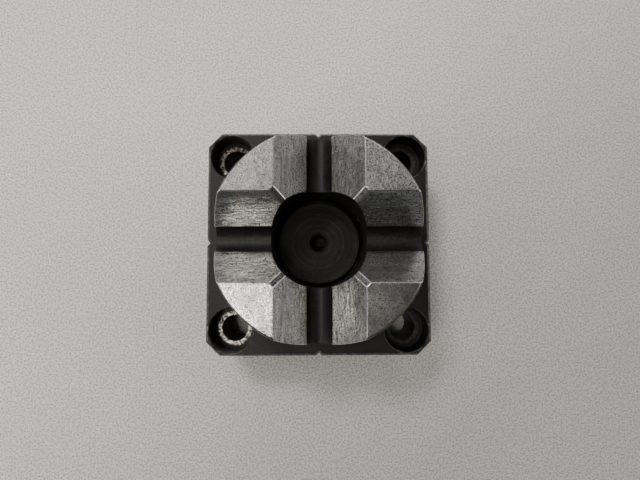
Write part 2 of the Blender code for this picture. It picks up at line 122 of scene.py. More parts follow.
DOWEL_RADIUS = 1.5 * MM
PORT_DRILL_RADIUS = 2.0 * MM
DUCT_RADIUS = 0.9 * MM
DUCT_END = 14.0 * MM        # from the block's middle
PORT_PITCH = 0.8 * MM
PORT_THREAD_DEPTH = 0.35 * MM
PLUG_RADIUS = 2.2 * MM
PLUG_RIDGES = 5
SCREW_PITCH = 0.45 * MM
SCREW_THREAD_DEPTH = 0.14 * MM
CAP_PLAIN_LENGTH = 9.0 * MM
SUNK_LAND = 0.2 * MM
CAP_SOCKET = (1.155 * MM, 1.2 * MM)     # corner radius and depth of the hexagon
SUNK_SOCKET = (0.87 * MM, 0.9 * MM)
PLUG_SOCKET = (1.44 * MM, 2.0 * MM)
HOUSING_THREAD_TOP = 9.2 * MM
HEAD_THREAD_TOP = 25.5 * MM
HOUSING_DOWEL_BOTTOM = 14.0 * MM
HEAD_DOWEL_TOP = 25.6 * MM
SCREW_ROOM = 0.15 * MM      # round a screw that passes through a hole
SPIGOT_TOP = 7.0 * MM
STOP_OUTER = 13.5 * MM
STOP_INNER = 12.0 * MM
CROWN_TOP = 16.0 * MM
COVER_GROOVE = (5.3 * MM, 0.9 * MM, 15.7 * MM)      # middle height, half width, floor radius
HUB_GROOVE = (12.6 * MM, 0.9 * MM, 8.7 * MM)
PISTON_GROOVE = (11.2 * MM, 1.2 * MM, 15.3 * MM)
GUIDE_GROOVE = (14.2 * MM, 1.0 * MM, 16.2 * MM)
GUIDE_INNER = 16.5 * MM
PISTON_SEAL = (16.5 * MM, 0.9 * MM, 11.2 * MM)      # middle radius, cord radius, height
HUB_SEAL = (9.6 * MM, 0.8 * MM, 12.6 * MM)
COVER_SEAL = (16.6 * MM, 0.8 * MM, 5.3 * MM)
PLUG_SEAL = (1.45 * MM, 0.45 * MM, 20.4 * MM)       # height is out along the port
CENTRE_HOLE_RADIUS = 1.85 * MM
CENTRE_HOLE_DEPTH = 6.0 * MM
FACING_PITCH = 0.3 * MM
FACING_DEPTH = 0.015 * MM
SPRING_RADIUS = 12.0 * MM   # middle of the wire
SPRING_WIRE_RADIUS = 0.6 * MM
SPRING_TURNS = 3.5
SPRING_EASING = 0.35        # how much closer the end turns lie

# Places in the head's list of materials
PAD, FLANK_X, FLANK_Y, RIDGE, HEAD_EDGE, SLOT_X, SLOT_Y, WALL = range(8)
HOUSING_EDGE = 1            # place in the housing's list

SHARP = math.radians(20)    # edges with a larger angle are broken
SHADED_SHARP = math.radians(14)
SMOOTH = 192                # steps round large turned surfaces
FAIR = 128                  # steps round the turned inner pieces
SMALL = 64                  # steps round holes and screws
BOLT_STEPS = 96
DIAGONALS = [math.radians(45 + 90 * i) for i in range(4)]
QUARTERS = [math.radians(90 * i) for i in range(4)]


# ---------------------------------------------------------------- mesh helpers

def turned(profile, steps):
    """Spin an outline of (radius, height) points about Z. It may start and end on the axis."""
    shape = bmesh.new()
    verts = [shape.verts.new((radius, 0, height)) for radius, height in profile]
    edges = [shape.edges.new(pair) for pair in zip(verts, verts[1:])]
    if profile[0][0] > 0:
        edges.append(shape.edges.new((verts[-1], verts[0])))
    bmesh.ops.spin(shape, geom=verts + edges, cent=(0, 0, 0), axis=(0, 0, 1),
                   angle=math.tau, steps=steps, use_merge=True)
    bmesh.ops.remove_doubles(shape, verts=shape.verts, dist=0.001 * MM)
    bmesh.ops.recalc_face_normals(shape, faces=shape.faces)
    return shape


def extruded(outline, low, high):
    shape = bmesh.new()
    face = shape.faces.new([shape.verts.new((x, y, low)) for x, y in outline])
    result = bmesh.ops.extrude_face_region(shape, geom=[face])
    top = [item for item in result["geom"] if isinstance(item, bmesh.types.BMVert)]
    bmesh.ops.translate(shape, verts=top, vec=(0, 0, high - low))
    bmesh.ops.recalc_face_normals(shape, faces=shape.faces)
    return shape


def moved(shape, matrix):
    bmesh.ops.transform(shape, matrix=matrix, verts=shape.verts)
    return shape


def copies(shape, matrices):
    """One bmesh that holds a copy of shape at each matrix."""
    mesh = bpy.data.meshes.new("copy")
    shape.to_mesh(mesh)
    shape.free()
    group = bmesh.new()
    for matrix in matrices:
        placed = mesh.copy()
        placed.transform(matrix)
        group.from_mesh(placed)
        bpy.data.meshes.remove(placed)
    bpy.data.meshes.remove(mesh)
    return group


def around(radius, angles):
    return [Matrix.Translation((radius * math.cos(a), radius * math.sin(a), 0)) for a in angles]


def outward(angle, offset, height):
    """Points local +Z out along the direction angle, with the axis shifted sideways by offset."""
    turn = Matrix.Rotation(angle, 4, "Z") @ Matrix.Translation((0, offset, height))
    return turn @ Matrix.Rotation(math.radians(90), 4, "Y")


FRONT_PORT = outward(math.radians(270), -PORT_OFFSET, PORT_Z)
RIGHT_PORT = outward(0, PORT_OFFSET, PORT_Z)


def temporary(shape):
    mesh = bpy.data.meshes.new("temporary")
    shape.to_mesh(mesh)
    shape.free()
    obj = bpy.data.objects.new("temporary", mesh)
    bpy.context.scene.collection.objects.link(obj)
    return obj


def in_order(shape):
    """Put corners, edges and faces in a fixed order, because cutting leaves them in any order."""
    def arrange(items, key):
        items.index_update()
        rank = {item.index: place for place, item in enumerate(sorted(items, key=key))}
        items.sort(key=lambda item: rank[item.index])
        items.index_update()

    def corners(item):
        return sorted(v.index for v in item.verts)

    arrange(shape.verts, lambda v: tuple(round(c / (0.0001 * MM)) for c in v.co))
    arrange(shape.edges, corners)
    arrange(shape.faces, corners)


def carved(shape, cutters):
    """Subtract each cutter, then merge the flat faces that the cuts have split."""
    body = temporary(shape)
    tools = [temporary(cutter) for cutter in cutters]
    for tool in tools:
        modifier = body.modifiers.new("cut", "BOOLEAN")
        modifier.operation = "DIFFERENCE"
        modifier.solver = "EXACT"
        modifier.object = tool
    graph = bpy.context.evaluated_depsgraph_get()
    mesh = bpy.data.meshes.new_from_object(body.evaluated_get(graph))
    result = bmesh.new()
    result.from_mesh(mesh)
    for obj in [body] + tools:
        bpy.data.objects.remove(obj, do_unlink=True)
    in_order(result)
    bmesh.ops.remove_doubles(result, verts=result.verts, dist=0.002 * MM)
    bmesh.ops.dissolve_limit(result, angle_limit=math.radians(0.4), verts=result.verts,
                             edges=result.edges)
    return result


def break_edges(shape, width, material, pick):
    """Lay a narrow flat along the sharp edges that pick accepts."""
    edges = [e for e in shape.edges
             if len(e.link_faces) == 2 and e.calc_face_angle(0) > SHARP and pick(e)]
    bmesh.ops.bevel(shape, geom=edges, offset=width, offset_type="OFFSET", segments=1,
                    profile=0.5, affect="EDGES", clamp_overlap=False, material=material)


def piece(name, shape, materials, body, nodes):
    """Make the object, let it ride on its body and stand for its CAD nodes."""
    mesh = bpy.data.meshes.new(name)
    shape.to_mesh(mesh)
    shape.free()
    mesh.shade_smooth()
    mesh.set_sharp_from_angle(angle=SHADED_SHARP)
    for material in materials:
        mesh.materials.append(material)
    obj = bpy.data.objects.new(name, mesh)
    bpy.context.scene.collection.objects.link(obj)
    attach(obj, body)
    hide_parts(*nodes)
    return obj


# ---------------------------------------------------------------- material helpers

class Finish:
    """Builds one procedural material. Lengths in its textures are millimetres."""

    def __init__(self, name):
        self.material = bpy.data.materials.new(name)
        self.material.use_nodes = True
        self.tree = self.material.node_tree
        self.shader = self.tree.nodes["Principled BSDF"]
        place = self.add("TexCoord").outputs["Object"]
        self.place = self.vector("SCALE", place, scale=1 / MM)
        self.x, self.y, self.z = self.split(self.place)

    def add(self, kind, **settings):
        made = self.tree.nodes.new("ShaderNode" + kind)
        for key, value in settings.items():
            setattr(made, key, value)
        return made

    def put(self, socket, value):
        if isinstance(value, bpy.types.NodeSocket):
            self.tree.links.new(value, socket)
        else:
            socket.default_value = value

    def math(self, operation, *values):
        made = self.add("Math", operation=operation)
        for socket, value in zip(made.inputs, values):
            self.put(socket, value)
        return made.outputs[0]

    def vector(self, operation, *values, scale=None):
        made = self.add("VectorMath", operation=operation)
        for socket, value in zip(made.inputs, values):
            self.put(socket, value)
        if scale is not None:
            self.put(made.inputs["Scale"], scale)
        return made.outputs[0]

    def split(self, vector):
        made = self.add("SeparateXYZ")
        self.put(made.inputs[0], vector)
        return made.outputs

    def radius(self, x, y):
        squares = [self.math("MULTIPLY", value, value) for value in (x, y)]
        return self.math("SQRT", self.math("ADD", *squares))

    def noise(self, stretch, detail=2.0, roughness=0.5):
        """Noise with stretch features per millimetre, one number or one each along X, Y and Z."""
        along = stretch if isinstance(stretch, tuple) else (stretch,) * 3
        scaled = self.vector("MULTIPLY", self.place, along)
        made = self.add("TexNoise")
        self.put(made.inputs["Vector"], scaled)
        self.put(made.inputs["Scale"], 1.0)
        self.put(made.inputs["Detail"], detail)
        self.put(made.inputs["Roughness"], roughness)
        return made.outputs[0]

    def remap(self, value, low, high, to_low=0.0, to_high=1.0):
        made = self.add("MapRange", clamp=True)
        for socket, number in zip(made.inputs, (value, low, high, to_low, to_high)):
            self.put(socket, number)
        return made.outputs[0]

    def blend(self, share, first, second):
        made = self.add("Mix", data_type="RGBA")
        colours = [s for s in made.inputs if s.type == "RGBA"]
        self.put(made.inputs[0], share)
        for socket, colour in zip(colours, (first, second)):
            self.put(socket, (*colour, 1.0) if isinstance(colour, tuple) else colour)
        return [s for s in made.outputs if s.type == "RGBA"][0]

    def bump(self, height, depth, after=None):
        """Raise the surface by height times depth, in millimetres."""
        made = self.add("Bump")
        self.put(made.inputs["Height"], height)
        self.put(made.inputs["Distance"], depth * MM)
        self.put(made.inputs["Strength"], 1.0)
        if after:
            self.put(made.inputs["Normal"], after)
        return made.outputs[0]

    def set(self, **values):
        for key, value in values.items():
            name = key.replace("_", " ").title().replace("Ior", "IOR")
            self.put(self.shader.inputs[name], (*value, 1.0) if isinstance(value, tuple) else value)


# ---------------------------------------------------------------- finishes

def ground_finish(name, lines, light=(0.53, 0.527, 0.516), roughness=0.27):
    """Ground steel. lines are the grinding marks per millimetre along X and Y."""
    f = Finish(name)
    fine = f.noise((lines[0], lines[1], 3.0), detail=3, roughness=0.7)
    broad = f.noise((lines[0] * 0.25, lines[1] * 0.3, 0.6), detail=2)
    speck = f.noise(3.1, detail=1, roughness=0.6)
    cloud = f.noise(0.2, detail=3)
    pits = f.math("MULTIPLY", f.remap(speck, 0.57, 0.62), f.remap(cloud, 0.3, 0.6, 0.6, 1.0))
    dark = tuple(0.42 * c for c in light)
    tone = f.math("MULTIPLY_ADD", fine, 0.75, f.math("MULTIPLY", broad, 0.25))
    colour = f.blend(f.remap(tone, 0.41, 0.60), dark, light)
    colour = f.blend(f.math("MULTIPLY", pits, 0.92), colour, (0.02, 0.019, 0.018))
    rough = f.math("ADD", f.remap(fine, 0.3, 0.7, roughness + 0.06, roughness - 0.06),
                   f.remap(cloud, 0.3, 0.7, -0.03, 0.05))
    rough = f.math("MULTIPLY_ADD", pits, 0.2, rough)
    marks = f.bump(f.math("MULTIPLY_ADD", speck, 0.8, fine), 0.004)
    f.set(base_color=colour, roughness=rough, metallic=1.0, normal=marks)
    return f.material


def edge_finish():
    """Bare bright steel on the narrow broken edges."""
    f = Finish("broken_edge_steel")
    wear = f.noise(1.6, detail=3)
    colour = f.blend(f.remap(wear, 0.35, 0.6), (0.34, 0.33, 0.31), (0.72, 0.71, 0.69))
    f.set(base_color=colour, roughness=f.remap(wear, 0.3, 0.7, 0.38, 0.24), metallic=1.0)
    return f.material


def oxide_parts(f, stretch):
    """Mottled black oxide with machining marks. Returns colour, roughness and height."""
    marks = f.noise(stretch, detail=3, roughness=0.6)
    cloud = f.noise(0.16, detail=4, roughness=0.6)
    grain = f.noise(3.8, detail=2, roughness=0.7)
    colour = f.blend(f.remap(cloud, 0.32, 0.68), (0.0035, 0.0035, 0.0036),
                     (0.010, 0.0098, 0.0092))
    colour = f.blend(f.remap(grain, 0.52, 0.66, 0.0, 0.8), colour, (0.036, 0.035, 0.032))
    rough = f.math("ADD", f.remap(cloud, 0.3, 0.7, 0.42, 0.54),
                   f.remap(marks, 0.3, 0.7, -0.05, 0.05))
    height = f.math("MULTIPLY_ADD", grain, 0.5, marks)
    return colour, rough, height


def oxide_finish(name, stretch=0.8):
    f = Finish(name)
    colour, rough, height = oxide_parts(f, stretch)
    f.set(base_color=colour, roughness=rough, metallic=0.0, specular_ior_level=0.28,
          normal=f.bump(height, 0.008))
    return f.material


def housing_finish():
    """Black oxide, with a bright ring on each bolt ledge where screw heads have turned, and a
    painted highlight that keeps these rings strong on the left and faint on the right.
    """
    f = Finish("housing_black_oxide")
    colour, rough, height = oxide_parts(f, (0.12, 2.2, 0.8))
    offset = BOLT_OFFSET / MM
    from_hole = f.radius(f.math("SUBTRACT", f.math("ABSOLUTE", f.x), offset),
                         f.math("SUBTRACT", f.math("ABSOLUTE", f.y), offset))
    ragged = f.math("MULTIPLY_ADD", f.noise((2.2, 2.2, 0.5), detail=3), 1.1, from_hole)
    ring = f.math("MULTIPLY", f.remap(ragged, 4.95, 4.55), f.remap(from_hole, 3.15, 3.2))
    # painted highlight: the rings fade from strong on the lit left to faint on the right
    ring = f.math("MULTIPLY", ring, f.remap(f.x, -12.0, 12.0, 1.0, 0.12))
    ledge = BOLT_LEDGE / MM
    level = f.math("MULTIPLY", f.remap(f.z, ledge - 0.35, ledge - 0.3),
                   f.remap(f.z, ledge + 0.3, ledge + 0.2))
    scuffed = f.remap(f.noise((1.9, 1.9, 0.5), detail=3, roughness=0.8), 0.44, 0.58)
    worn = f.math("MULTIPLY", f.math("MULTIPLY", ring, level), scuffed)
    # the worn ring is bare metal, so wear, together with the painted highlight of its left-to-right
    # fade, drives the colour, the gloss and the metal
    f.set(base_color=f.blend(worn, colour, (0.62, 0.58, 0.52)),
          roughness=f.math("MULTIPLY_ADD", worn, -0.12, rough),
          metallic=worn, specular_ior_level=0.28, normal=f.bump(height, 0.008))
    return f.material


def oxide_edge_finish():
    """Black oxide rubbed thin along the broken edges."""
    f = Finish("rubbed_oxide_edge")
    wear = f.noise(0.9, detail=4, roughness=0.65)
    colour = f.blend(f.remap(wear, 0.42, 0.66), (0.035, 0.034, 0.032), (0.15, 0.145, 0.135))
    f.set(base_color=colour, roughness=f.remap(wear, 0.3, 0.7, 0.46, 0.34), metallic=0.35)
    return f.material


def turned_finish():
    """Faced black surface with rings from the lathe tool."""
    f = Finish("turned_black_oxide")
    colour, rough, height = oxide_parts(f, 0.9)
    wobble = f.noise(0.25, detail=2)
    spread = f.math("MULTIPLY_ADD", wobble, 0.35, f.radius(f.x, f.y))
    wide = f.math("SINE", f.math("MULTIPLY", spread, math.tau / 1.5))
    narrow = f.math("SINE", f.math("MULTIPLY", spread, math.tau / 0.62))
    rings = f.math("MULTIPLY_ADD", wide, 0.5, f.math("MULTIPLY", narrow, 0.35))
    worn = f.remap(f.noise(0.16, detail=2), 0.38, 0.62, 0.15, 0.75)
    bright = f.math("MULTIPLY", f.remap(rings, 0.1, 0.8), worn)
    colour = f.blend(bright, colour, (0.042, 0.040, 0.037))
    dust = f.remap(f.noise(2.2, detail=4, roughness=0.85), 0.5, 0.66, 0.0, 0.2)
    colour = f.blend(dust, colour, (0.058, 0.052, 0.043))
    f.set(base_color=colour, roughness=f.math("MULTIPLY_ADD", dust, 0.3, rough), metallic=0.0,
          specular_ior_level=0.15, normal=f.bump(rings, 0.02, after=f.bump(height, 0.008)))
    return f.material


def plain_metal(name, low, high, rough):
    """Bare or darkened metal whose colour drifts from low to high."""
    f = Finish(name)
    grain = f.noise(1.5, detail=3, roughness=0.6)
    f.set(base_color=f.blend(f.remap(grain, 0.3, 0.7), low, high),
          roughness=f.remap(grain, 0.3, 0.7, rough - 0.05, rough + 0.06), metallic=1.0,
          normal=f.bump(grain, 0.004))
    return f.material


def rubber_finish():
    f = Finish("seal_rubber")
    grain = f.noise(6.0, detail=2)
    f.set(base_color=f.blend(grain, (0.010, 0.010, 0.010), (0.024, 0.024, 0.023)),
          roughness=f.remap(grain, 0.3, 0.7, 0.62, 0.78), normal=f.bump(grain, 0.006))
    return f.material


def guide_finish():
    f = Finish("guide_plastic")
    flecks = f.noise(2.5, detail=4, roughness=0.7)
    f.set(base_color=f.blend(f.remap(flecks, 0.35, 0.65), (0.40, 0.31, 0.17), (0.56, 0.47, 0.30)),
          roughness=f.remap(flecks, 0.3, 0.7, 0.46, 0.6), normal=f.bump(flecks, 0.004))
    return f.material


# ---------------------------------------------------------------- housing

def housing_outline():
    side = [(HALF_SIDE, -HALF_SIDE + CORNER_CHAMFER), (HALF_SIDE, -NOTCH_HALF_WIDTH),
            (HALF_SIDE - NOTCH_DEPTH, 0), (HALF_SIDE, NOTCH_HALF_WIDTH),
            (HALF_SIDE, HALF_SIDE - CORNER_CHAMFER)]
    outline = []
    for angle in QUARTERS:
        c, s = round(math.cos(angle)), round(math.sin(angle))
        outline += [(c * x - s * y, s * x + c * y) for x, y in side]
    return outline


def port_thread(low, high):
    """Profile points of the threaded port, as V-shaped rings from low to high."""
    points = []
    for i in range(int((high - low) / PORT_PITCH)):
        start = low + i * PORT_PITCH
        points += [(PORT_RADIUS, start + 0.1 * PORT_PITCH),
                   (PORT_RADIUS - PORT_THREAD_DEPTH, start + 0.5 * PORT_PITCH),
                   (PORT_RADIUS, start + 0.9 * PORT_PITCH)]
    return points


def housing_shape():
    shape = extruded(housing_outline(), 0, HOUSING_TOP)
    top_edges = [e for e in shape.edges if all(v.co.z > HOUSING_TOP / 2 for v in e.verts)]
    bmesh.ops.bevel(shape, geom=top_edges, offset=TOP_CHAMFER, segments=1, affect="EDGES")
    cover_wall = COVER_RADIUS + SEAM
    head_wall = HEAD_RADIUS + SEAM
    bore = [(0, -OVERRUN), (cover_wall + 0.2 * MM, -OVERRUN), (cover_wall + 0.2 * MM, 0),
            (cover_wall, 0.2 * MM), (cover_wall, COVER_SEAT), (BORE_RADIUS, COVER_SEAT),
            (BORE_RADIUS, HEAD_SEAT), (head_wall, HEAD_SEAT),
            (head_wall, HOUSING_TOP - 0.1 * MM), (head_wall + 0.1 * MM, HOUSING_TOP),
            (head_wall + 0.1 * MM, HOUSING_TOP + OVERRUN), (0, HOUSING_TOP + OVERRUN)]
    mouth = 0.25 * MM
    bolt = [(0, -OVERRUN), (BOLT_HOLE_RADIUS + mouth, -OVERRUN), (BOLT_HOLE_RADIUS + mouth, 0),
            (BOLT_HOLE_RADIUS, mouth), (BOLT_HOLE_RADIUS, BOLT_LEDGE - 0.1 * MM),
            (BOLT_HOLE_RADIUS + 0.1 * MM, BOLT_LEDGE), (BOLT_HEAD_RADIUS, BOLT_LEDGE),
            (BOLT_HEAD_RADIUS, HOUSING_TOP - mouth), (BOLT_HEAD_RADIUS + mouth, HOUSING_TOP),
            (BOLT_HEAD_RADIUS + mouth, HOUSING_TOP + OVERRUN), (0, HOUSING_TOP + OVERRUN)]
    cap_top = COVER_SEAT + CAP_HEIGHT + 0.3 * MM
    screw = [(0, COVER_SEAT - OVERRUN), (CAP_RADIUS + SCREW_ROOM, COVER_SEAT - OVERRUN),
             (CAP_RADIUS + SCREW_ROOM, cap_top), (SHANK_RADIUS + SCREW_ROOM, cap_top),
             (SHANK_RADIUS + SCREW_ROOM, HOUSING_TOP), (0, HOUSING_TOP)]
    thread = [(0, COVER_SEAT - OVERRUN), (SHANK_RADIUS + SEAM, COVER_SEAT - OVERRUN),
              (SHANK_RADIUS + SEAM, HOUSING_THREAD_TOP), (0, HOUSING_THREAD_TOP)]
    dowel = [(0, HOUSING_DOWEL_BOTTOM), (DOWEL_RADIUS + SEAM, HOUSING_DOWEL_BOTTOM),
             (DOWEL_RADIUS + SEAM, HOUSING_TOP), (0, HOUSING_TOP)]
    bottom = HALF_SIDE - PORT_DEPTH
    spot = HALF_SIDE - SPOT_DEPTH
    port = [(0, DUCT_END), (DUCT_RADIUS, DUCT_END), (DUCT_RADIUS, bottom),
            (PORT_DRILL_RADIUS, bottom)]
    port += port_thread(bottom + 0.4 * MM, spot - 0.4 * MM)
    port += [(PORT_RADIUS, spot - 0.3 * MM), (PORT_RADIUS + 0.3 * MM, spot), (SPOT_RADIUS, spot),
             (SPOT_RADIUS, HALF_SIDE - 0.1 * MM), (SPOT_RADIUS + 0.1 * MM, HALF_SIDE),
             (SPOT_RADIUS + 0.1 * MM, HALF_SIDE + OVERRUN), (0, HALF_SIDE + OVERRUN)]
    shape = carved(shape, [
        turned(bore, SMOOTH),
        copies(turned(bolt, BOLT_STEPS), around(BOLT_OFFSET * math.sqrt(2), DIAGONALS)),
        copies(turned(screw, SMALL), around(HEAD_SCREW_CIRCLE, DIAGONALS)),
        copies(turned(thread, SMALL), around(COVER_SCREW_CIRCLE, QUARTERS)),
        copies(turned(dowel, SMALL), around(DOWEL_CIRCLE, QUARTERS[::2])),
        copies(turned(port, SMALL), [FRONT_PORT, RIGHT_PORT]),
    ])

    def outside(edge):
        middle = (edge.verts[0].co + edge.verts[1].co) / 2
        x, y = abs(middle.x), abs(middle.y)
        reach = max(x, y, (x + y + CORNER_CHAMFER) / 2)
        return reach > HALF_SIDE - NOTCH_DEPTH - SEAM and len(edge.verts[0].link_edges) <= 4

    break_edges(shape, 0.12 * MM, HOUSING_EDGE, outside)
    for face in shape.faces:
        slanted = 0.3 < abs(face.normal.z) < 0.95
        if slanted and face.calc_center_median().z > 0.0:
            face.material_index = HOUSING_EDGE
    return shape


# ---------------------------------------------------------------- head

def groove_cutter(turn):
    """One arm of the V-cross: two flanks and the slot with its round floor."""
    top = PAD_Z + OVERRUN
    reach = HALF_GROOVE + OVERRUN
    edge = PAD_Z - (HALF_GROOVE - HALF_SLOT)
    section = [(-reach, top)]
    steps = 24
    for i in range(steps + 1):
        angle = math.pi * (1 + i / steps)
        section.append((HALF_SLOT * math.cos(angle), edge + HALF_SLOT * math.sin(angle)))
    section.append((reach, top))
    length = HEAD_RADIUS + OVERRUN
    matrix = Matrix.Rotation(turn, 4, "Z") @ Matrix.Rotation(math.radians(90), 4, "X")
    shape = moved(extruded(section, -length, length), matrix)
    bmesh.ops.recalc_face_normals(shape, faces=shape.faces)
    return shape


def ridge_cutters():
    """A block over each ridge between two flanks; its lower face is the ridge's narrow flat."""
    size = 8 * MM
    normal = Vector((-1, -1, 2)).normalized()
    along = Vector((1, 1, 1)).normalized()
    across = normal.cross(along)
    turn = Matrix((along, across, normal)).transposed().to_4x4()
    corner = Vector((HALF_GROOVE, HALF_GROOVE, PAD_Z - RIDGE_FLAT / 2))
    turn.translation = corner + normal * size / 2
    block = bmesh.new()
    bmesh.ops.create_cube(block, size=size, matrix=turn)
    return copies(block, [Matrix.Rotation(a, 4, "Z") for a in QUARTERS])


def head_region(face):
    """Which finish a face of the head has: its place in the head's list of materials."""
    normal = face.normal
    middle = face.calc_center_median()
    if normal.z > 0.995 and middle.z > PAD_Z - 0.01 * MM:
        return PAD
    on_flank = abs(normal.z - math.sqrt(0.5)) < 0.02 and middle.z > PAD_Z - 7 * MM
    if on_flank and abs(normal.y) > 0.7:
        return FLANK_X
    if on_flank and abs(normal.x) > 0.7:
        return FLANK_Y
    if abs(normal.z - math.sqrt(2 / 3)) < 0.02 and middle.z > PAD_Z - 3 * MM:
        return RIDGE
    in_slot = min(abs(middle.x), abs(middle.y)) < HALF_SLOT + 0.01 * MM
    outside_pocket = math.hypot(middle.x, middle.y) > POCKET_RADIUS + 0.3 * MM
    if in_slot and outside_pocket and middle.z > PAD_Z - 10 * MM and normal.z > -0.05:
        return SLOT_X if abs(middle.y) < abs(middle.x) else SLOT_Y
    return WALL


def head_shape():
    bottom = HEAD_SEAT + SEAM
    rim = 0.35 * MM
    profile = [(POCKET_RADIUS + 0.2 * MM, CAGE_BOTTOM), (CAGE_RADIUS - 0.2 * MM, CAGE_BOTTOM),
               (CAGE_RADIUS, CAGE_BOTTOM + 0.2 * MM), (CAGE_RADIUS, CAVITY_TOP),
               (BORE_RADIUS, CAVITY_TOP), (BORE_RADIUS, bottom), (HEAD_RADIUS - 0.2 * MM, bottom),
               (HEAD_RADIUS, bottom + 0.2 * MM), (HEAD_RADIUS, PAD_Z - rim),
               (HEAD_RADIUS - rim, PAD_Z), (POCKET_RADIUS, PAD_Z),
               (POCKET_RADIUS, CAGE_BOTTOM + 0.2 * MM)]
    lip_end = POCKET_RADIUS + 0.9 * MM
    hole = [(0, POCKET_RADIUS - OVERRUN), (BALL_LIP_RADIUS, POCKET_RADIUS - OVERRUN),
            (BALL_LIP_RADIUS, POCKET_RADIUS), (BALL_HOLE_RADIUS, lip_end),
            (BALL_HOLE_RADIUS, CAGE_RADIUS + OVERRUN), (0, CAGE_RADIUS + OVERRUN)]
    thread = [(0, bottom - OVERRUN), (SHANK_RADIUS + SEAM, bottom - OVERRUN),
              (SHANK_RADIUS + SEAM, HEAD_THREAD_TOP), (0, HEAD_THREAD_TOP)]
    dowel = [(0, bottom - OVERRUN), (DOWEL_RADIUS + SEAM, bottom - OVERRUN),
             (DOWEL_RADIUS + SEAM, HEAD_DOWEL_TOP), (0, HEAD_DOWEL_TOP)]
    shape = carved(turned(profile, SMOOTH), [
        groove_cutter(0),
        groove_cutter(math.radians(90)),
        ridge_cutters(),
        copies(turned(hole, SMALL), [outward(a, 0, BALL_Z) for a in BALL_ANGLES]),
        copies(turned(thread, SMALL), around(HEAD_SCREW_CIRCLE, DIAGONALS)),
        copies(turned(dowel, SMALL), around(DOWEL_CIRCLE, QUARTERS[::2])),
    ])

    def upper(edge):
        return min(v.co.z for v in edge.verts) > PAD_Z - 10 * MM

    break_edges(shape, 0.10 * MM, HEAD_EDGE, upper)
    for face in shape.faces:
        middle = face.calc_center_median()
        in_slot = min(abs(middle.x), abs(middle.y)) < HALF_SLOT - 0.15 * MM
        if face.material_index != HEAD_EDGE:
            face.material_index = head_region(face)
        elif in_slot and middle.z < PAD_Z - 7 * MM:
            face.material_index = WALL
    return shape


# ---------------------------------------------------------------- cover

def groove_points(wall, centre, half, floor):
    """Profile points of a square groove in a wall of radius wall."""
    low, high = centre - half, centre + half
    return [(wall, low), (floor, low), (floor, high), (wall, high)]


def faced(outer, inner, level):
    """Profile points of the fine rings that a lathe tool leaves on a flat face."""
    points = []
    for i in range(int((outer - inner) / FACING_PITCH)):
        radius = outer - i * FACING_PITCH
        points += [(radius, level), (radius - FACING_PITCH / 2, level - FACING_DEPTH)]
    return points


def cover_shape():
    seat_top = COVER_SEAT - SEAM
    spigot = BORE_RADIUS - SEAM
    stop_top = PISTON_BOTTOM - SEAM
    stop_edge = stop_top - 0.1 * MM
    low = COVER_BOTTOM
    top = POCKET_FLOOR
    profile = [(0, low), (COVER_RADIUS - 0.3 * MM, low), (COVER_RADIUS, low + 0.3 * MM),
               (COVER_RADIUS, seat_top), (spigot, seat_top)]
    profile += groove_points(spigot, *COVER_GROOVE)
    profile += [(spigot, SPIGOT_TOP - 0.3 * MM), (spigot - 0.3 * MM, SPIGOT_TOP),
                (STOP_OUTER, SPIGOT_TOP), (STOP_OUTER, stop_edge),
                (STOP_OUTER - 0.1 * MM, stop_top), (STOP_INNER + 0.1 * MM, stop_top),
                (STOP_INNER, stop_edge), (STOP_INNER, SPIGOT_TOP), (HUB_RADIUS, SPIGOT_TOP)]
    profile += groove_points(HUB_RADIUS, *HUB_GROOVE)
    profile += [(HUB_RADIUS, top - 0.35 * MM), (HUB_RADIUS - 0.35 * MM, top)]
    # the hub's face: fine rings, a shallow recessed ring, fine rings, the centre hole
    profile += faced(HUB_RADIUS - 0.5 * MM, 8.05 * MM, top)
    profile += [(7.95 * MM, top), (7.85 * MM, top - 0.12 * MM), (7.45 * MM, top - 0.12 * MM),
                (7.35 * MM, top)]
    profile += faced(7.2 * MM, 2.4 * MM, top)
    profile += [(CENTRE_HOLE_RADIUS + 0.4 * MM, top), (CENTRE_HOLE_RADIUS, top - 0.4 * MM),
                (CENTRE_HOLE_RADIUS, top - CENTRE_HOLE_DEPTH),
                (0, top - CENTRE_HOLE_DEPTH - 0.6 * MM)]
    sunk = low + SUNK_LAND + SEAM
    hole = [(0, -OVERRUN), (SUNK_RADIUS + 0.1 * MM, -OVERRUN), (SUNK_RADIUS + 0.1 * MM, sunk),
            (SHANK_RADIUS + SCREW_ROOM, sunk + SUNK_RADIUS - SHANK_RADIUS),
            (SHANK_RADIUS + SCREW_ROOM, COVER_SEAT + OVERRUN), (0, COVER_SEAT + OVERRUN)]
    return carved(turned(profile, SMOOTH),
                  [copies(turned(hole, SMALL), around(COVER_SCREW_CIRCLE, QUARTERS))])


# ---------------------------------------------------------------- piston group and spring

def piston_shape():
    low = PISTON_BOTTOM
    break_edge = 0.2 * MM
    profile = [(PISTON_BORE, low + break_edge), (PISTON_BORE + break_edge, low),
               (PISTON_RADIUS - 0.3 * MM, low), (PISTON_RADIUS, low + 0.3 * MM)]
    profile += groove_points(PISTON_RADIUS, *PISTON_GROOVE)
    profile += groove_points(PISTON_RADIUS, *GUIDE_GROOVE)
    profile += [(PISTON_RADIUS, CROWN_TOP - break_edge), (PISTON_RADIUS - break_edge, CROWN_TOP),
                (NECK_OUTER, CROWN_TOP), (NECK_OUTER, PISTON_TOP - break_edge),
                (NECK_OUTER - break_edge, PISTON_TOP), (NECK_INNER + break_edge, PISTON_TOP),
                (NECK_INNER, PISTON_TOP - break_edge), (NECK_INNER, SPRING_SEAT_Z),
                (SLEEVE_RADIUS, SPRING_SEAT_Z), (SLEEVE_RADIUS, SLEEVE_TOP - 0.15 * MM),
                (SLEEVE_RADIUS - 0.15 * MM, SLEEVE_TOP), (PISTON_BORE + 0.15 * MM, SLEEVE_TOP),
                (PISTON_BORE, SLEEVE_TOP - 0.15 * MM)]
    return turned(profile, FAIR)


